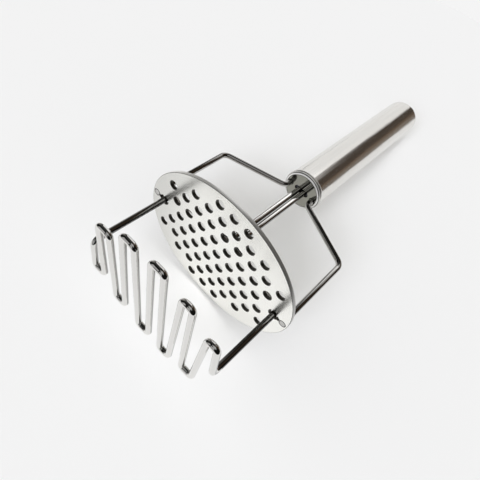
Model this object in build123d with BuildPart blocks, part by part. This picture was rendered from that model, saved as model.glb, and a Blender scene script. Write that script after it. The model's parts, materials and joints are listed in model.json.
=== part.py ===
from build123d import *
from math import asin, atan2, cos, degrees, hypot, pi, radians, sin, sqrt
import os

# Spring-loaded potato masher and ricer. The tool axis runs from the wave through the oval plate into the
# handle. The tool lies as on a table: the plate's rim and the handle's far end touch z = 0.
os.makedirs("parts", exist_ok=True)

# Stock and general fits
wire_diameter = 3.2
cut_overrun = 2.0
weld_fit = 0.05
running_clearance = 0.05

# Oval perforated plate, its front face at height 0 on the tool axis
plate_length = 95.4
plate_width = 76.8
plate_thickness = 2.0
plate_edge_round = 0.3
hole_pitch = 9.0
hole_diameter = 4.9
holes_per_row = (3, 6, 9, 8, 7, 8, 9, 6, 3)
rod_hole_diameter = 5.6
rod_notch_length = 0.7
rod_notch_width = 1.8

# Wave bent from one wire inside an oval, with a rod on each side. The table gives the two corners of each
# bend from left to right, as shares of the oval's half length and half width.
wave_distance = 41.1
wave_lean = 1.03
wave_half_length = 42.0
wave_half_width = 34.0
rod_offset = 39.2
corner_radius = 3.4
corner_straight = 1.0
bend_radius = 2.4
bend_corner_shares = (
    ((0.879, -0.559), (0.705, -0.535)),
    ((0.869, 0.529), (0.689, 0.544)),
    ((0.481, -0.771), (0.319, -0.756)),
    ((0.517, 0.856), (0.340, 0.871)),
    ((0.076, -0.844), (-0.102, -0.832)),
    ((0.112, 0.947), (-0.062, 0.965)),
    ((-0.295, -0.838), (-0.445, -0.826)),
    ((-0.321, 0.862), (-0.457, 0.874)),
    ((-0.629, -0.676), (-0.790, -0.665)),
    ((-0.712, 0.626), (-0.833, 0.635)),
)

# Both side rods bend inwards behind the plate and run side by side through the collar into the handle
bridge_clearance = 2.3
bridge_rise = 5.0
bridge_bend_radius = 3.6
rod_pair_gap = 0.4

# Frame wires from the plate to the collar
frame_wire_offset = 45.0
elbow_height = 50.5
elbow_radius = 5.0
hook_offset = 8.4
hook_drop = 5.0
hook_radius = 4.5
hook_reach = 6.0
hook_hole_clearance = 0.4

# Collar that closes the handle's near end
collar_height = 70.5
collar_diameter = 24.0
collar_thickness = 1.8
collar_edge_round = 1.4
spigot_length = 8.0
spigot_wall = 1.0
guide_slot_side_clearance = 0.3
guide_slot_end_clearance = 1.2

# Handle tube and its end cap
handle_length = 128.0
tube_diameter = 24.0
tube_wall = 0.8
bead_diameter = 24.8
bead_length = 1.4
bead_round = 0.35
cap_thickness = 2.0
cap_edge_round = 1.6
cap_skirt_length = 7.0
cap_skirt_wall = 1.0

# Guide of the rod pair and its stop: a ferrule crimped on both rods, with the spring washer behind it
bush_diameter = 12.6
bush_flange_thickness = 2.0
ferrule_length = 4.0
ferrule_wall = 1.2
washer_diameter = 21.0
washer_thickness = 1.5
rod_tail = 5.0
rod_end_chamfer = 0.5

# Compression spring and its seat
spring_wire = 1.5
spring_mean_diameter = 16.0
spring_coils = 20
seat_thickness = 3.0
seat_nose_diameter = 13.6
seat_nose_length = 8.0
spring_end_gap = 0.05

# Radii and heights that follow from the sizes above
wire_radius = wire_diameter / 2
tube_radius = tube_diameter / 2
bore_radius = tube_radius - tube_wall
handle_end = collar_height + handle_length
tube_start = collar_height + collar_thickness
tube_end = handle_end - cap_thickness
spigot_end = tube_start + spigot_length
ferrule_start = spigot_end + bush_flange_thickness
washer_start = ferrule_start + ferrule_length
spring_start = washer_start + washer_thickness
seat_face = tube_end - seat_thickness
bridge_height = plate_thickness + bridge_clearance + wire_radius
bridge_centre = bridge_height + bridge_rise
pair_offset = wire_radius + rod_pair_gap / 2
pair_width = wire_diameter + rod_pair_gap + wire_diameter
rod_end = spring_start + rod_tail
lean_angle = radians(wave_lean)


# Tilt that rests the rounded plate rim and the rounded cap edge on the table
rim_drop = plate_width / 2 - plate_edge_round
rim_height = plate_thickness - plate_edge_round
edge_drop = tube_radius - cap_edge_round
edge_height = handle_end - cap_edge_round
rest_rise = rim_drop - edge_drop
rest_run = edge_height - rim_height
tilt = atan2(rest_rise, rest_run) - asin((cap_edge_round - plate_edge_round) / hypot(rest_rise, rest_run))


# Height of the wave's plane, which leans a little towards its right side
def wave_height(across):
    return -wave_distance - across * sin(lean_angle)


# Corner points of the wave, from the left rod's corner to the right rod's, in the tool's own frame
def wave_corners():
    rise = corner_radius + corner_straight
    bends = [(u * wave_half_length, v * wave_half_width) for bend in bend_corner_shares for u, v in bend]
    places = [(rod_offset, 0)] + bends + [(-rod_offset, 0)]
    points = [(u, v, wave_height(u)) for u, v in places]
    first = (rod_offset, 0, wave_height(rod_offset) + rise)
    last = (-rod_offset, 0, wave_height(-rod_offset) + rise)
    return [first] + points + [last]


# Wire path of the wave in a given frame
def wave_path(frame):
    radii = [corner_radius] + [bend_radius] * (2 * len(bend_corner_shares)) + [corner_radius]
    with BuildLine(frame) as path:
        FilletPolyline(*wave_corners(), radius=radii)
    return path


# Place of the tool in its own frame: centred under the bounding box, standing on z = 0
tool_axis = (0, cos(tilt), -sin(tilt))
level_frame = Plane(origin=(0, 0, 0), x_dir=(-1, 0, 0), z_dir=tool_axis)
near_end = wave_path(level_frame).line.bounding_box().min.Y - wire_radius
far_end = edge_drop * sin(tilt) + edge_height * cos(tilt) + cap_edge_round
tool_y = -(near_end + far_end) / 2
tool_z = plate_edge_round + rim_drop * cos(tilt) + rim_height * sin(tilt)
tool = Plane(origin=(0, tool_y, tool_z), x_dir=(-1, 0, 0), z_dir=tool_axis)
side_view = Plane(origin=tool.origin, x_dir=tool.x_dir, z_dir=-tool.y_dir)


# Save one finished piece under its own name
def save(piece, name):
    piece.part.label = name
    export_step(piece.part, f"parts/{name}.step")


# Round wire swept along a path
def sweep_wire(path, radius):
    with BuildSketch(Plane(origin=path.line @ 0, z_dir=path.line % 0)) as section:
        Circle(radius)
    sweep(section.sketch, path=path.line)


# Flat ring or disc on the tool axis
def add_ring(start, length, outer_radius, inner_radius=0.0):
    with BuildSketch(tool.offset(start)) as ring:
        Circle(outer_radius)
        if inner_radius > 0:
            Circle(inner_radius, mode=Mode.SUBTRACT)
    extrude(ring.sketch, amount=length)


# Straight piece on the tool axis with the rod pair's slotted outline
def add_slot(start, length, margin, mode=Mode.ADD, end_margin=0.0):
    with BuildSketch(tool.offset(start)) as slot:
        SlotOverall(pair_width + 2 * (margin + end_margin), wire_diameter + 2 * margin)
    extrude(slot.sketch, amount=length, mode=mode)


# Centres of the plate's staggered holes
def plate_hole_places():
    middle_row = (len(holes_per_row) - 1) / 2
    row_pitch = hole_pitch * sqrt(3) / 2
    places = []
    for row, count in enumerate(holes_per_row):
        for column in range(count):
            across = (column - (count - 1) / 2) * hole_pitch
            places.append((across, (row - middle_row) * row_pitch))
    return places


# Handle tube with a rolled bead at its near end
with BuildPart() as handle_tube:
    add_ring(tube_start, tube_end - tube_start, tube_radius, bore_radius)
    add_ring(tube_start, bead_length, bead_diameter / 2, bore_radius)
    bead_face = handle_tube.faces().filter_by(GeomType.CYLINDER).sort_by(SortBy.RADIUS)[-1]
    fillet(bead_face.edges().filter_by(GeomType.CIRCLE), radius=bead_round)
save(handle_tube, "handle_tube")


# End cap: rounded disc with a skirt pressed into the tube
with BuildPart() as handle_end_cap:
    add_ring(tube_end, cap_thickness, tube_radius)
    cap_rim = handle_end_cap.edges().filter_by(GeomType.CIRCLE).group_by(Axis(tool.origin, tool.z_dir))[-1]
    fillet(cap_rim, radius=cap_edge_round)
    add_ring(tube_end - cap_skirt_length, cap_skirt_length, bore_radius, bore_radius - cap_skirt_wall)
save(handle_end_cap, "handle_end_cap")


# Collar: front disc with the guide slot and the hook holes, and a spigot in the tube
with BuildPart() as collar:
    add_ring(collar_height, collar_thickness, collar_diameter / 2)
    collar_rim = collar.edges().filter_by(GeomType.CIRCLE).group_by(Axis(tool.origin, tool.z_dir))[0]
    fillet(collar_rim, radius=collar_edge_round)
    add_ring(tube_start, spigot_length, bore_radius, bore_radius - spigot_wall)
    cut_start = collar_height - cut_overrun
    cut_length = collar_thickness + 2 * cut_overrun
    add_slot(cut_start, cut_length, guide_slot_side_clearance, Mode.SUBTRACT, guide_slot_end_clearance)
    with BuildSketch(tool.offset(cut_start)):
        with Locations((hook_offset, 0), (-hook_offset, 0)):
            Circle(wire_radius + hook_hole_clearance)
    extrude(amount=cut_length, mode=Mode.SUBTRACT)
save(collar, "collar")


# Guide bush: sleeve round the rod pair, with a flange on the end of the spigot
with BuildPart() as guide_bush:
    add_ring(tube_start, spigot_length, bush_diameter / 2)
    add_ring(spigot_end, bush_flange_thickness, bore_radius)
    add_slot(tube_start, spigot_length + bush_flange_thickness, running_clearance, Mode.SUBTRACT)
save(guide_bush, "guide_bush")


# Frame wires: straight up from the plate, in along the diagonal and hooked into the collar
def frame_wire(side):
    hook_height = collar_height - hook_drop
    with BuildPart() as wire:
        with BuildLine(side_view) as path:
            FilletPolyline(
                (side * frame_wire_offset, 0),
                (side * frame_wire_offset, elbow_height),
                (side * hook_offset, hook_height),
                (side * hook_offset, tube_start + hook_reach),
                radius=[elbow_radius, hook_radius],
            )
        sweep_wire(path, wire_radius)
    return wire


for name, side in (("frame_wire_left", 1), ("frame_wire_right", -1)):
    save(frame_wire(side), name)


# Ricer plate: oval sheet with staggered holes, two notched rod holes and two holes for the frame wires
with BuildPart() as ricer_plate:
    notch_reach = rod_hole_diameter / 2 + rod_notch_length
    notch_place = rod_offset + notch_reach / 2
    with BuildSketch(tool):
        Ellipse(plate_length / 2, plate_width / 2)
        with Locations(*plate_hole_places()):
            Circle(hole_diameter / 2, mode=Mode.SUBTRACT)
        with Locations((rod_offset, 0), (-rod_offset, 0)):
            Circle(rod_hole_diameter / 2, mode=Mode.SUBTRACT)
        with Locations((notch_place, 0), (-notch_place, 0)):
            Rectangle(notch_reach, rod_notch_width, mode=Mode.SUBTRACT)
        with Locations((frame_wire_offset, 0), (-frame_wire_offset, 0)):
            Circle(wire_radius + weld_fit, mode=Mode.SUBTRACT)
    extrude(amount=plate_thickness)
    fillet(ricer_plate.edges().sort_by(SortBy.LENGTH)[-2:], radius=plate_edge_round)
save(ricer_plate, "ricer_plate")


# Wave: flat serpentine wire whose two ends turn up into the side rods
with BuildPart() as masher_wave:
    sweep_wire(wave_path(tool), wire_radius)
save(masher_wave, "masher_wave")


# Side rods: through the plate, bent inwards behind it, then side by side into the handle
def side_rod(side):
    with BuildPart() as rod:
        with BuildLine(side_view) as path:
            FilletPolyline(
                (side * rod_offset, wave_height(side * rod_offset) + corner_radius + corner_straight),
                (side * rod_offset, bridge_height),
                (side * pair_offset, bridge_centre),
                (side * pair_offset, rod_end),
                radius=bridge_bend_radius,
            )
        sweep_wire(path, wire_radius)
        tip = rod.edges().filter_by(GeomType.CIRCLE).group_by(Axis(tool.origin, tool.z_dir))[-1]
        chamfer(tip, length=rod_end_chamfer)
    return rod


for name, side in (("side_rod_left", 1), ("side_rod_right", -1)):
    save(side_rod(side), name)


# Ferrule crimped on both rods, resting on the bush
with BuildPart() as rod_ferrule:
    add_slot(ferrule_start, ferrule_length, ferrule_wall)
    with BuildSketch(tool.offset(ferrule_start)):
        with Locations((pair_offset, 0), (-pair_offset, 0)):
            Circle(wire_radius)
    extrude(amount=ferrule_length, mode=Mode.SUBTRACT)
save(rod_ferrule, "rod_ferrule")


# Spring washer behind the ferrule, and the spring seat plug inside the end cap
with BuildPart() as spring_washer:
    add_ring(washer_start, washer_thickness, washer_diameter / 2)
    add_slot(washer_start, washer_thickness, running_clearance, Mode.SUBTRACT)
save(spring_washer, "spring_washer")

with BuildPart() as spring_seat:
    add_ring(seat_face, seat_thickness, bore_radius - cap_skirt_wall)
    add_ring(seat_face - seat_nose_length, seat_nose_length, seat_nose_diameter / 2)
save(spring_seat, "spring_seat")


# Point and direction on the spring's helix at a given turn
def helix_point(turn, start, pitch):
    angle = 2 * pi * turn
    radius = spring_mean_diameter / 2
    local = Vector(radius * cos(angle), radius * sin(angle), start + pitch * turn)
    along = Vector(-2 * pi * radius * sin(angle), 2 * pi * radius * cos(angle), pitch)
    point = tool.from_local_coords(local)
    return point, (tool.from_local_coords(local + along) - point).normalized()


# Two arcs that leave the first point and reach the second along their given directions
def add_biarc(start, start_way, end, end_way):
    chord = end - start
    ways = start_way + end_way
    turn = 2 * (1 - start_way.dot(end_way))
    reach = (sqrt(chord.dot(ways) ** 2 + turn * chord.dot(chord)) - chord.dot(ways)) / turn
    first, second = start + start_way * reach, end - end_way * reach
    middle = (first + second) / 2
    TangentArc(start, middle, tangent=start_way)
    TangentArc(middle, end, tangent=second - first)


# Compression spring between the washer and the seat
with BuildPart() as spring:
    helix_start = spring_start + spring_wire / 2 + spring_end_gap
    helix_end = seat_face - spring_wire / 2 - spring_end_gap
    helix_pitch = (helix_end - helix_start) / spring_coils
    with BuildLine() as path:
        for half_turn in range(2 * spring_coils):
            here = helix_point(half_turn / 2, helix_start, helix_pitch)
            there = helix_point((half_turn + 1) / 2, helix_start, helix_pitch)
            add_biarc(*here, *there)
    sweep_wire(path, spring_wire / 2)
save(spring, "spring")


# Sizes that depend on the resting place
print("tilt", degrees(tilt), "tool origin", tool.origin)
print("tool axis", tool.z_dir)
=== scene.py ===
import bpy
import json
import math
from mathutils import Matrix, Vector


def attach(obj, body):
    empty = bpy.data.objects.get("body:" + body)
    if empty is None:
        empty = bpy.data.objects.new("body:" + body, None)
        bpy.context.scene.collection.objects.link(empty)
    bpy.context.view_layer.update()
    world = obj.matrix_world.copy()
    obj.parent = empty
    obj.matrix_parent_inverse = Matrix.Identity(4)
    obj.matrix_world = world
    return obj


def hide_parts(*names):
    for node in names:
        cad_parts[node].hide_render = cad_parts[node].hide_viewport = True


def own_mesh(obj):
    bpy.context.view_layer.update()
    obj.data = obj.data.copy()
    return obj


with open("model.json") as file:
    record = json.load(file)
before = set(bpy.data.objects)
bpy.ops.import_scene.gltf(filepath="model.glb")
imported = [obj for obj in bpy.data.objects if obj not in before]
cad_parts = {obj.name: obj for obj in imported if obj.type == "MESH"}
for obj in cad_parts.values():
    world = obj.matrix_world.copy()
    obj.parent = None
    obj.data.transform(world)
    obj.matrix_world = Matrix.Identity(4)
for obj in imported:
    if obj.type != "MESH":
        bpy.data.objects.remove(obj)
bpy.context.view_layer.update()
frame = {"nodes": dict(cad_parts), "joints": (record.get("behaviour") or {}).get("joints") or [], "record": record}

MM = 0.001

# The tool's own frame: origin in the plate's front face, w along the tool axis towards the handle,
# u along the plate's long axis and v up from the table
AXIS_W = Vector(frame["joints"][0]["axis"]).normalized()
AXIS_U = Vector((-1.0, 0.0, 0.0))
AXIS_V = AXIS_W.cross(AXIS_U)
HANDLE_END = Vector(next(m for m in frame["record"]["mounts"] if m["name"] == "handle_end")["pos_m"])
HANDLE_END_HEIGHT = 198.5
ORIGIN = HANDLE_END - AXIS_W * HANDLE_END_HEIGHT * MM

# Sizes of the pieces in millimetres
WIRE_RADIUS = 1.6
PLATE_LENGTH, PLATE_WIDTH, PLATE_THICKNESS = 95.4, 76.8, 2.0
PLATE_RIM_ROUND = 0.22
HOLE_PITCH, HOLE_DIAMETER = 9.0, 4.9
HOLES_PER_ROW = (3, 6, 9, 8, 7, 8, 9, 6, 3)
ROD_OFFSET, ROD_HOLE_DIAMETER = 39.2, 5.6
ROD_NOTCH_LENGTH, ROD_NOTCH_WIDTH = 0.7, 1.8
FRAME_WIRE_OFFSET, FRAME_WIRE_GAP = 45.0, 0.25
WELD_REACH, WELD_HEIGHT, WELD_SUNK = 1.1, 0.9, 0.2
SPRING_RADIUS, SPRING_WIRE_RADIUS, SPRING_TURNS = 8.0, 0.75, 20
SPRING_START, SPRING_END, SPRING_GAP = 87.8, 193.5, 0.05
COLLAR_START, COLLAR_THICKNESS, COLLAR_RADIUS, COLLAR_ROUND = 70.5, 1.8, 12.0, 1.4
BEAD_LENGTH, BEAD_RADIUS, BEAD_GAP = 1.4, 12.4, 0.05
RING_PROUD = 0.02
LINE_DEPTH, LINE_LIFT = 0.1, 0.06

# Numbers of steps round the curved outlines
PLATE_STEPS, HOLE_STEPS, WIRE_HOLE_STEPS = 240, 40, 32
WELD_STEPS, ARC_STEPS = 6, 12
COIL_STEPS_PER_TURN, COIL_STEPS_AROUND = 28, 10

# Places of the sheet's materials, and how steep a face of it may be to count as flat or as a cut wall
FRONT_FACE, HOLE_WALL, OUTER_WALL, ROUNDED_EDGE, BACK_FACE = range(5)
FLAT_FACING, WALL_FACING, OUTER_SHARE = 0.999, 0.3, 0.97

# Depth of the metal's grain in metres
GRAIN_DEPTH = 0.0001

PAPER_TONE = 0.91
FLOOR_RADIUS, FLOOR_STRETCH, FLOOR_CENTRE_Y, FLOOR_STEPS = 0.27, 1.35, -0.04, 128


def place(u, v, w):
    return ORIGIN + (AXIS_U * u + AXIS_V * v + AXIS_W * w) * MM


def direction(u, v, w):
    return (AXIS_U * u + AXIS_V * v + AXIS_W * w).normalized()


# Turns the upright axes to the given ones and moves the origin to a point
def placed(point, x_axis, y_axis, z_axis):
    return Matrix.Translation(point) @ Matrix((x_axis, y_axis, z_axis)).transposed().to_4x4()


def add(name, data):
    added = bpy.data.objects.new(name, data)
    bpy.context.scene.collection.objects.link(added)
    return added


# Materials
def new_material(name):
    material = bpy.data.materials.new(name)
    material.use_nodes = True
    return material


def smooth_step(tree, value, low, high, start=0.0, end=1.0):
    node = tree.nodes.new("ShaderNodeMapRange")
    node.interpolation_type = "SMOOTHSTEP"
    node.inputs["From Min"].default_value = low
    node.inputs["From Max"].default_value = high
    node.inputs["To Min"].default_value = start
    node.inputs["To Max"].default_value = end
    tree.links.new(value, node.inputs["Value"])
    return node.outputs["Result"]


# Metal whose grain changes its tone, its roughness and its relief a little
def metal(name, color, roughness, bump, scale=(1.0, 1.0, 1.0), roughness_spread=0.05, grain=600.0,
          tone_spread=0.03, metallic=1.0):
    material = new_material(name)
    nodes, links = material.node_tree.nodes, material.node_tree.links
    shader = nodes["Principled BSDF"]
    shader.inputs["Metallic"].default_value = metallic
    coords = nodes.new("ShaderNodeTexCoord")
    level = nodes.new("ShaderNodeVectorRotate")
    level.rotation_type = "X_AXIS"
    level.inputs["Angle"].default_value = -math.asin(AXIS_W.z)
    links.new(coords.outputs["Object"], level.inputs["Vector"])
    mapping = nodes.new("ShaderNodeMapping")
    mapping.inputs["Scale"].default_value = scale
    links.new(level.outputs["Vector"], mapping.inputs["Vector"])
    noise = nodes.new("ShaderNodeTexNoise")
    noise.inputs["Scale"].default_value = grain
    noise.inputs["Detail"].default_value = 4.0
    links.new(mapping.outputs["Vector"], noise.inputs["Vector"])
    rough = nodes.new("ShaderNodeMapRange")
    rough.inputs["To Min"].default_value = roughness - roughness_spread
    rough.inputs["To Max"].default_value = roughness + roughness_spread
    links.new(noise.outputs["Fac"], rough.inputs["Value"])
    links.new(rough.outputs["Result"], shader.inputs["Roughness"])
    tone = nodes.new("ShaderNodeMixRGB")
    tone.inputs["Color1"].default_value = (*[c * (1 - tone_spread) for c in color], 1.0)
    tone.inputs["Color2"].default_value = (*[min(1.0, c * (1 + tone_spread)) for c in color], 1.0)
    links.new(noise.outputs["Fac"], tone.inputs["Fac"])
    links.new(tone.outputs["Color"], shader.inputs["Base Color"])
    bumped = nodes.new("ShaderNodeBump")
    bumped.inputs["Strength"].default_value = bump
    bumped.inputs["Distance"].default_value = GRAIN_DEPTH
    links.new(noise.outputs["Fac"], bumped.inputs["Height"])
    links.new(bumped.outputs["Normal"], shader.inputs["Normal"])
    return material


# Paints shade into a material: makes it darker, by the given amount in the end, where a coordinate along the given
# way goes from the start to the end value
def paint_shade(material, coordinate, way, start, end, amount):
    tree = material.node_tree
    coords = tree.nodes.new("ShaderNodeTexCoord")
    along = tree.nodes.new("ShaderNodeVectorMath")
    along.operation = "DOT_PRODUCT"
    along.inputs[1].default_value = way
    tree.links.new(coords.outputs[coordinate], along.inputs[0])
    shade_mix = tree.nodes.new("ShaderNodeMixRGB")
    shade_mix.blend_type = "MULTIPLY"
    shade_mix.inputs["Color2"].default_value = (amount, amount, amount, 1.0)
    tree.links.new(smooth_step(tree, along.outputs["Value"], start, end), shade_mix.inputs["Fac"])
    color = tree.nodes["Principled BSDF"].inputs["Base Color"]
    tree.links.new(color.links[0].from_socket, shade_mix.inputs["Color1"])
    tree.links.new(shade_mix.outputs["Color"], color)


# Painted light and shade: the same steel wire is darkest in the frame wires, lighter in the wave and lightest in
# the side rods
wire = metal("polished_wire", (0.52, 0.51, 0.495), 0.05, 0.01, roughness_spread=0.02)
plate = metal("satin_sheet", (0.94, 0.935, 0.895), 0.25, 0.002, roughness_spread=0.01, grain=250.0,
              tone_spread=0.008)
# The sheet's back face is darker than its front: painted shade
sheet_back_shade = metal("satin_sheet_back_shade", (0.42, 0.41, 0.39), 0.3, 0.01, tone_spread=0.02)
# Dark rounded edges of the sheet: painted dark reflection
dark_edge_reflection = metal("dark_edge_reflection", (0.16, 0.155, 0.15), 0.4, 0.05)
# Near-black hole walls of the sheet: painted shade; the same dark also draws the thin lines in the collar's rim
painted_dark = metal("painted_dark_edge", (0.09, 0.085, 0.075), 0.4, 0.1)
cut_rim = metal("cut_rim", (0.93, 0.925, 0.90), 0.35, 0.05, metallic=0.85)
handle = metal("brushed_tube", (0.77, 0.755, 0.725), 0.17, 0.6, scale=(1.0, 0.02, 1.0), grain=1400.0,
               tone_spread=0.08, metallic=0.98)
weld = metal("weld_metal", (0.45, 0.44, 0.42), 0.32, 0.3)
spring = metal("spring_wire", (0.5, 0.5, 0.5), 0.25, 0.02)
collar_face = metal("collar_face", (0.41, 0.408, 0.367), 0.1, 0.01, roughness_spread=0.02)
rim_polish = metal("rim_polish", (0.92, 0.915, 0.90), 0.22, 0.02, metallic=0.6)
wave_wire = metal("wave_wire", (0.76, 0.75, 0.73), 0.06, 0.01, roughness_spread=0.02)

# Painted shade: the sheet is darker towards its left end and its rim towards the right one; painted dark
# reflection: the wave's wire is darker along the side that faces the next leg
paint_shade(plate, "Object", (1.0, 0.0, 0.0), -0.012, -0.046, 0.74)
paint_shade(cut_rim, "Object", (1.0, 0.0, 0.0), -0.001, 0.011, 0.5)
paint_shade(wave_wire, "Normal", (0.975, 0.21, 0.06), 0.90, 0.985, 0.35)

# Painted dark reflections: the side rods are darker in front of the plate and along their lower right side, the
# right one also where it faces the left one
node_looks = {"masher_wave": wave_wire}
for name in ("side_rod_left", "side_rod_right"):
    rod_wire = metal(name + "_wire", (0.92, 0.905, 0.885), 0.06, 0.01, roughness_spread=0.02)
    paint_shade(rod_wire, "Object", (0.0, -1.0, 0.0), 0.066, 0.076, 0.65)
    paint_shade(rod_wire, "Normal", (0.952, 0.04, -0.304), 0.15, 0.6, 0.3)
    node_looks[name] = rod_wire
paint_shade(node_looks["side_rod_right"], "Normal", (-0.952, -0.04, 0.304), 0.70, 0.92, 0.25)

slot_looks = {"wire_steel": wire, "plate_steel": plate, "handle_steel": handle, "collar_steel": collar_face,
              "spring_steel": spring}
for sub in frame["record"]["subparts"]:
    look = node_looks.get(sub["node"], slot_looks.get(sub["material_slot"]))
    if look:
        mesh = frame["nodes"][sub["node"]].data
        for index in range(len(mesh.materials)):
            mesh.materials[index] = look


# Pieces made from points in the tool's frame
def build_mesh(name, points, faces, material, body):
    mesh = bpy.data.meshes.new(name)
    mesh.from_pydata(points, [], faces)
    mesh.update()
    mesh.polygons.foreach_set("use_smooth", [True] * len(mesh.polygons))
    mesh.materials.append(material)
    piece = add(name, mesh)
    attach(piece, body)
    return piece


# A closed profile of (radius, height) points turned round a line parallel to the tool axis
def lathe(name, profile, material, body, centre=(0.0, 0.0), turns=96):
    points, faces = [], []
    count = len(profile)
    for turn in range(turns):
        angle = 2 * math.pi * turn / turns
        for radius, height in profile:
            across, along = radius * math.cos(angle), radius * math.sin(angle)
            points.append(place(centre[0] + across, centre[1] + along, height))
    for turn in range(turns):
        following = (turn + 1) % turns
        for index in range(count):
            onward = (index + 1) % count
            faces.append((turn * count + index, turn * count + onward,
                          following * count + onward, following * count + index))
    return build_mesh(name, points, faces, material, body)


def ring_outline(across, along, radius_u, radius_v, steps):
    angles = [2 * math.pi / steps * k for k in range(steps)]
    return [(across + radius_u * math.cos(angle), along + radius_v * math.sin(angle)) for angle in angles]


# Rod hole with its notch towards the plate's end
def notched_outline(side):
    radius = ROD_HOLE_DIAMETER / 2
    opening = math.asin(ROD_NOTCH_WIDTH / 2 / radius)
    outline = []
    for k in range(HOLE_STEPS + 1):
        angle = opening + (2 * math.pi - 2 * opening) * k / HOLE_STEPS
        outline.append((ROD_OFFSET + radius * math.cos(angle), radius * math.sin(angle)))
    for way in (-1, 1):
        outline.append((ROD_OFFSET + radius + ROD_NOTCH_LENGTH, way * ROD_NOTCH_WIDTH / 2))
    return [(side * u, v) for u, v in outline]


# Flat sheet with holes, its edges rounded on both faces
def sheet_piece(name, outlines, base, thickness, rounding, materials, body):
    curve = bpy.data.curves.new(name + "_outline", "CURVE")
    curve.dimensions = "2D"
    curve.fill_mode = "BOTH"
    curve.extrude = (thickness / 2 - rounding) * MM
    curve.bevel_depth = rounding * MM
    curve.bevel_resolution = 3
    curve.offset = -rounding * MM
    for outline in outlines:
        spline = curve.splines.new("POLY")
        spline.points.add(len(outline) - 1)
        for point, (u, v) in zip(spline.points, outline):
            point.co = (u * MM, v * MM, 0.0, 1.0)
        spline.use_cyclic_u = True
    source = add(name + "_outline", curve)
    bpy.context.view_layer.update()
    mesh = bpy.data.meshes.new_from_object(source.evaluated_get(bpy.context.evaluated_depsgraph_get()))
    bpy.data.objects.remove(source)
    mesh.name = name
    middle = place(0, 0, base + thickness / 2)
    mesh.transform(placed(middle, AXIS_U, AXIS_V, AXIS_W))
    mesh.materials.clear()
    for material in materials:
        mesh.materials.append(material)
    for polygon in mesh.polygons:
        facing = polygon.normal.dot(AXIS_W)
        flat = abs(facing) > FLAT_FACING
        polygon.use_smooth = not flat
        offset = polygon.center - middle
        u, v = offset.dot(AXIS_U) / MM, offset.dot(AXIS_V) / MM
        outer = (u / (PLATE_LENGTH / 2)) ** 2 + (v / (PLATE_WIDTH / 2)) ** 2 > OUTER_SHARE
        if abs(facing) < WALL_FACING:
            polygon.material_index = OUTER_WALL if outer else HOLE_WALL
        elif not flat:
            polygon.material_index = ROUNDED_EDGE
        else:
            polygon.material_index = BACK_FACE if facing > 0 else FRONT_FACE
    piece = add(name, mesh)
    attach(piece, body)
    return piece


outlines = [ring_outline(0, 0, PLATE_LENGTH / 2, PLATE_WIDTH / 2, PLATE_STEPS)]
row_pitch = HOLE_PITCH * math.sqrt(3) / 2
for row, count in enumerate(HOLES_PER_ROW):
    for column in range(count):
        across = (column - (count - 1) / 2) * HOLE_PITCH
        along = (row - (len(HOLES_PER_ROW) - 1) / 2) * row_pitch
        outlines.append(ring_outline(across, along, HOLE_DIAMETER / 2, HOLE_DIAMETER / 2, HOLE_STEPS))
for side in (1, -1):
    outlines.append(notched_outline(side))
    radius = WIRE_RADIUS + FRAME_WIRE_GAP
    outlines.append(ring_outline(side * FRAME_WIRE_OFFSET, 0, radius, radius, WIRE_HOLE_STEPS))
sheet = sheet_piece("ricer_sheet", outlines, 0.0, PLATE_THICKNESS, PLATE_RIM_ROUND,
                    (plate, painted_dark, cut_rim, dark_edge_reflection, sheet_back_shade), "handle_frame")
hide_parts("ricer_plate")

# Weld fillet round each frame wire behind the plate
for side, name in ((1, "weld_left"), (-1, "weld_right")):
    inner, foot = WIRE_RADIUS - WELD_SUNK, PLATE_THICKNESS - WELD_SUNK
    profile = [(inner, foot), (WIRE_RADIUS + WELD_REACH, foot)]
    for step in range(WELD_STEPS + 1):
        turn = math.pi / 2 * step / WELD_STEPS
        profile.append((WIRE_RADIUS + WELD_REACH * (1 - math.sin(turn)),
                        PLATE_THICKNESS + WELD_HEIGHT * (1 - math.cos(turn))))
    profile.append((inner, PLATE_THICKNESS + WELD_HEIGHT))
    lathe(name, profile, weld, "handle_frame", (side * FRAME_WIRE_OFFSET, 0.0), 40)

# Coil spring inside the handle, its end turns closed
first_height = SPRING_START + SPRING_WIRE_RADIUS + SPRING_GAP
last_height = SPRING_END - SPRING_WIRE_RADIUS - SPRING_GAP
closed_pitch = 2 * SPRING_WIRE_RADIUS + SPRING_GAP
open_pitch = (last_height - first_height - 2 * closed_pitch) / (SPRING_TURNS - 2)


def coil_height(turn):
    if turn < 1:
        return first_height + closed_pitch * turn
    if turn > SPRING_TURNS - 1:
        return last_height - closed_pitch * (SPRING_TURNS - turn)
    return first_height + closed_pitch + open_pitch * (turn - 1)


points, faces = [], []
for step in range(SPRING_TURNS * COIL_STEPS_PER_TURN + 1):
    turn = step / COIL_STEPS_PER_TURN
    angle = 2 * math.pi * turn
    for around in range(COIL_STEPS_AROUND):
        lean = 2 * math.pi * around / COIL_STEPS_AROUND
        radius = SPRING_RADIUS + SPRING_WIRE_RADIUS * math.cos(lean)
        points.append(place(radius * math.cos(angle), radius * math.sin(angle),
                            coil_height(turn) + SPRING_WIRE_RADIUS * math.sin(lean)))
for start in range(0, len(points) - COIL_STEPS_AROUND, COIL_STEPS_AROUND):
    following = start + COIL_STEPS_AROUND
    for around in range(COIL_STEPS_AROUND):
        onward = (around + 1) % COIL_STEPS_AROUND
        faces.append((start + around, start + onward, following + onward, following + around))
faces.append(tuple(reversed(range(COIL_STEPS_AROUND))))
faces.append(tuple(range(len(points) - COIL_STEPS_AROUND, len(points))))
coil = build_mesh("spring_coil", points, faces, spring, "handle_frame")
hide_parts("spring")
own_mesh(coil)

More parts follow.
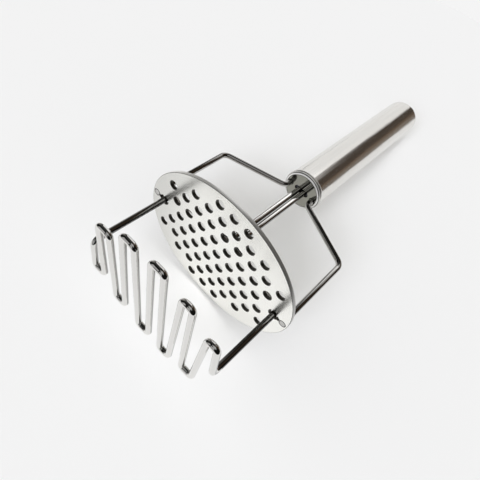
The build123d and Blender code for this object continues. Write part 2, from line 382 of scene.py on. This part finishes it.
# Rounded rim of the collar
centre_radius, centre_height = COLLAR_RADIUS - COLLAR_ROUND, COLLAR_START + COLLAR_ROUND
reach = COLLAR_ROUND + RING_PROUD
profile = [(centre_radius, centre_height)]
for step in range(ARC_STEPS + 1):
    turn = math.pi / 2 * step / ARC_STEPS
    profile.append((centre_radius + reach * math.sin(turn), centre_height - reach * math.cos(turn)))
lathe("collar_rim", profile, rim_polish, "handle_frame")

# Thin dark lines in the collar's rounded rim between two angles from its face; the one across the rim is a painted
# dark reflection between its two highlights
for name, first, last in (("face_dark_line", -8, 4), ("rim_painted_line", 43, 63)):
    outside, inside = COLLAR_ROUND + LINE_DEPTH, COLLAR_ROUND - LINE_DEPTH
    profile = []
    for reach, degrees in ((outside, first), (outside, last), (inside, last), (inside, first)):
        turn = math.radians(degrees)
        profile.append((centre_radius + reach * math.sin(turn),
                        centre_height - (reach - LINE_LIFT) * math.cos(turn)))
    lathe(name, profile, painted_dark, "handle_frame")

# Bead rolled on the tube behind the collar
half = BEAD_LENGTH / 2
foot_radius, middle_height = BEAD_RADIUS - half, COLLAR_START + COLLAR_THICKNESS + half
profile = [(foot_radius, middle_height + half - BEAD_GAP), (foot_radius, middle_height - half + BEAD_GAP)]
for step in range(ARC_STEPS + 1):
    turn = math.pi * step / ARC_STEPS
    profile.append((foot_radius + (half + RING_PROUD) * math.sin(turn),
                    middle_height - (half - BEAD_GAP) * math.cos(turn)))
lathe("tube_bead", profile, rim_polish, "handle_frame")

# Floor: a round sheet of paper on the table
rim = ring_outline(0, FLOOR_CENTRE_Y, FLOOR_RADIUS, FLOOR_RADIUS * FLOOR_STRETCH, FLOOR_STEPS)
mesh = bpy.data.meshes.new("floor")
mesh.from_pydata([(x, y, 0.0) for x, y in rim], [], [tuple(range(FLOOR_STEPS))])
floor = add("floor", mesh)
paper = new_material("floor_paper")
shader = paper.node_tree.nodes["Principled BSDF"]
shader.inputs["Base Color"].default_value = (PAPER_TONE, PAPER_TONE, PAPER_TONE, 1.0)
shader.inputs["Roughness"].default_value = 0.9
shader.inputs["Specular IOR Level"].default_value = 0.0
mesh.materials.append(paper)

# Camera: its place in millimetres and its directions in the tool's frame, its focal length and centre in
# pixels of a square picture
FOCAL_PX, CENTRE_X, CENTRE_Y, IMAGE = 417.92, 232.998, 217.041, 480
SENSOR_MM = 36.0
CAMERA_PLACE = (-42.3, 172.64, -100.84)
DOWN = (-0.6897, -0.5495, -0.4715)
FORWARD = (0.2424, -0.7888, 0.5648)

camera_data = bpy.data.cameras.new("camera")
camera = add("camera", camera_data)
bpy.context.scene.camera = camera
back = -direction(*FORWARD)
up = -direction(*DOWN)
right = up.cross(back).normalized()
up = back.cross(right).normalized()
camera.matrix_world = placed(place(*CAMERA_PLACE), right, up, back)
camera_data.sensor_width = SENSOR_MM
camera_data.lens = SENSOR_MM * FOCAL_PX / IMAGE
camera_data.shift_x = (IMAGE / 2 - CENTRE_X) / IMAGE
camera_data.shift_y = (CENTRE_Y - IMAGE / 2) / IMAGE
camera_data.clip_start = 0.01

# Light from all round
world = bpy.data.worlds.new("studio")
bpy.context.scene.world = world
world.use_nodes = True
tree = world.node_tree
tree.nodes.clear()


def feed(socket, value):
    if isinstance(value, bpy.types.NodeSocket):
        tree.links.new(value, socket)
    else:
        socket.default_value = value


def math_node(operation, *values):
    node = tree.nodes.new("ShaderNodeMath")
    node.operation = operation
    for index, value in enumerate(values):
        feed(node.inputs[index], value)
    return node.outputs[0]


def background(color, strength):
    node = tree.nodes.new("ShaderNodeBackground")
    feed(node.inputs["Color"], color)
    feed(node.inputs["Strength"], strength)
    return node.outputs[0]


def mixed(share, first, second):
    node = tree.nodes.new("ShaderNodeMixShader")
    for index, value in enumerate((share, first, second)):
        feed(node.inputs[index], value)
    return node.outputs[0]


# Share of a band between two azimuths, with soft ends from the first to the second and from the third to the
# last angle
def band(first, second, third, last):
    return math_node("MULTIPLY", smooth_step(tree, azimuth, first, second),
                     smooth_step(tree, azimuth, third, last, 1.0, 0.0))


# Room that the metal reflects, by azimuth and elevation in degrees: dim, lighter at the left and right, and
# brown behind
coords = tree.nodes.new("ShaderNodeTexCoord")
split = tree.nodes.new("ShaderNodeSeparateXYZ")
tree.links.new(coords.outputs["Generated"], split.inputs[0])
azimuth = math_node("MULTIPLY", math_node("ARCTAN2", split.outputs["X"], split.outputs["Y"]), 180 / math.pi)
elevation = math_node("MULTIPLY", math_node("ARCSINE", split.outputs["Z"]), 180 / math.pi)
left_room = math_node("MULTIPLY", band(-100.0, -65.0, -65.0, -35.0),
                      smooth_step(tree, elevation, 5.0, 40.0, 0.3, 0.06))
right_room = math_node("MULTIPLY", band(5.0, 22.0, 40.0, 50.0),
                       smooth_step(tree, elevation, 6.0, 18.0, 0.15, 0.0))
brown_side = band(-12.0, -2.0, 45.0, 55.0)
brown_room = math_node("MULTIPLY", brown_side, 0.04)
brightness = math_node("ADD", math_node("ADD", left_room, right_room), math_node("ADD", brown_room, 0.006))
tint = tree.nodes.new("ShaderNodeMixRGB")
tint.inputs["Color1"].default_value = (1.0, 0.97, 0.92, 1.0)
tint.inputs["Color2"].default_value = (1.0, 0.66, 0.42, 1.0)
tree.links.new(math_node("MULTIPLY", brown_side, smooth_step(tree, elevation, 0.0, 14.0, 0.4, 1.0)),
               tint.inputs["Fac"])
room = background(tint.outputs["Color"], brightness)
soft = background((1.0, 0.995, 0.965, 1.0), 0.74)
backdrop = background((PAPER_TONE, PAPER_TONE, PAPER_TONE, 1.0), 1.0)

# The metal shows the room, the rest is lit softly, and the camera sees the backdrop
paths = tree.nodes.new("ShaderNodeLightPath")
direct = math_node("LESS_THAN", paths.outputs["Diffuse Depth"], 0.5)
lit = mixed(math_node("MULTIPLY", paths.outputs["Is Glossy Ray"], direct), soft, room)
output = tree.nodes.new("ShaderNodeOutputWorld")
tree.links.new(mixed(paths.outputs["Is Camera Ray"], lit, backdrop), output.inputs[0])

# Soft sun from the wave's side
SUN_RISE, SUN_SPREAD = math.radians(40.0), math.radians(30.0)
sun_data = bpy.data.lights.new("key", "SUN")
sun_data.energy = 1.33
sun_data.color = (0.904, 0.918, 1.0)
sun_data.angle = SUN_SPREAD
sun = add("key", sun_data)
sun_way = Vector((0.0, -math.cos(SUN_RISE), math.sin(SUN_RISE)))
sun.rotation_euler = sun_way.to_track_quat("Z", "Y").to_euler()
sun.visible_glossy = False


def area_lamp(name, shape, width, height, power):
    data = bpy.data.lights.new(name, "AREA")
    data.shape = shape
    data.size = width
    data.size_y = height
    data.energy = power
    return add(name, data)


# Reflected panel: it shows in the metal and adds no light to the floor
def panel(name, centre, towards, width, height, brightness):
    lamp = area_lamp(name, "RECTANGLE", width, height, brightness * width * height * math.pi)
    lamp.location = centre
    lamp.rotation_euler = (centre - towards).to_track_quat("Z", "Y").to_euler()
    lamp.visible_diffuse = False


panel("card", Vector((-0.175, 0.33, 0.17)), Vector((-0.175, 0.0, 0.17)), 0.35, 0.36, 0.92)

# Large panels by azimuth and elevation in degrees, width, height and brightness
PANEL_DISTANCE = 1.5
for name, bearing, height_angle, width, height, strength in (
        ("front_softbox", -148.0, 10.0, 0.75, 1.7, 0.42),
        ("overhead_softbox", 145.0, 66.0, 1.1, 1.1, 0.42),
        ("back_strip", -8.0, 42.0, 1.3, 0.3, 0.5),
        ("front_card", 176.0, 20.0, 0.65, 1.0, 0.5)):
    turn, rise = math.radians(bearing), math.radians(height_angle)
    way = Vector((math.sin(turn) * math.cos(rise), math.cos(turn) * math.cos(rise), math.sin(rise)))
    panel(name, way * PANEL_DISTANCE, Vector(), width, height, strength)


# Light that a polished face throws on the floor, from a lamp on that face that the metal doesn't show
def bounce(name, shape, centre, towards, width, height, brightness):
    share = math.pi / 4 if shape == "ELLIPSE" else 1.0
    power = brightness * math.pi * share * width * MM * height * MM
    lamp = area_lamp(name, shape, width * MM, height * MM, power)
    back = (place(*centre) - place(*towards)).normalized()
    along = AXIS_U if abs(back.dot(AXIS_W)) > 0.9 else AXIS_W
    up = back.cross(along).normalized()
    lamp.matrix_world = placed(place(*centre), up.cross(back), up, back)
    lamp.visible_glossy = False
    lamp.visible_camera = False


bounce("plate_front_light", "ELLIPSE", (0, 0, -1), (0, 0, -10), PLATE_LENGTH, PLATE_WIDTH, 0.85)
bounce("plate_back_light", "ELLIPSE", (0, 0, 3), (0, 0, 10), PLATE_LENGTH * 0.6, PLATE_WIDTH, 0.3)
bounce("handle_left_light", "RECTANGLE", (13, -4, 138), (20, -4, 138), 120, 20, 0.25)
bounce("handle_right_light", "RECTANGLE", (-13, -4, 138), (-20, -4, 138), 120, 20, 0.25)

bpy.context.scene.view_settings.view_transform = "Standard"
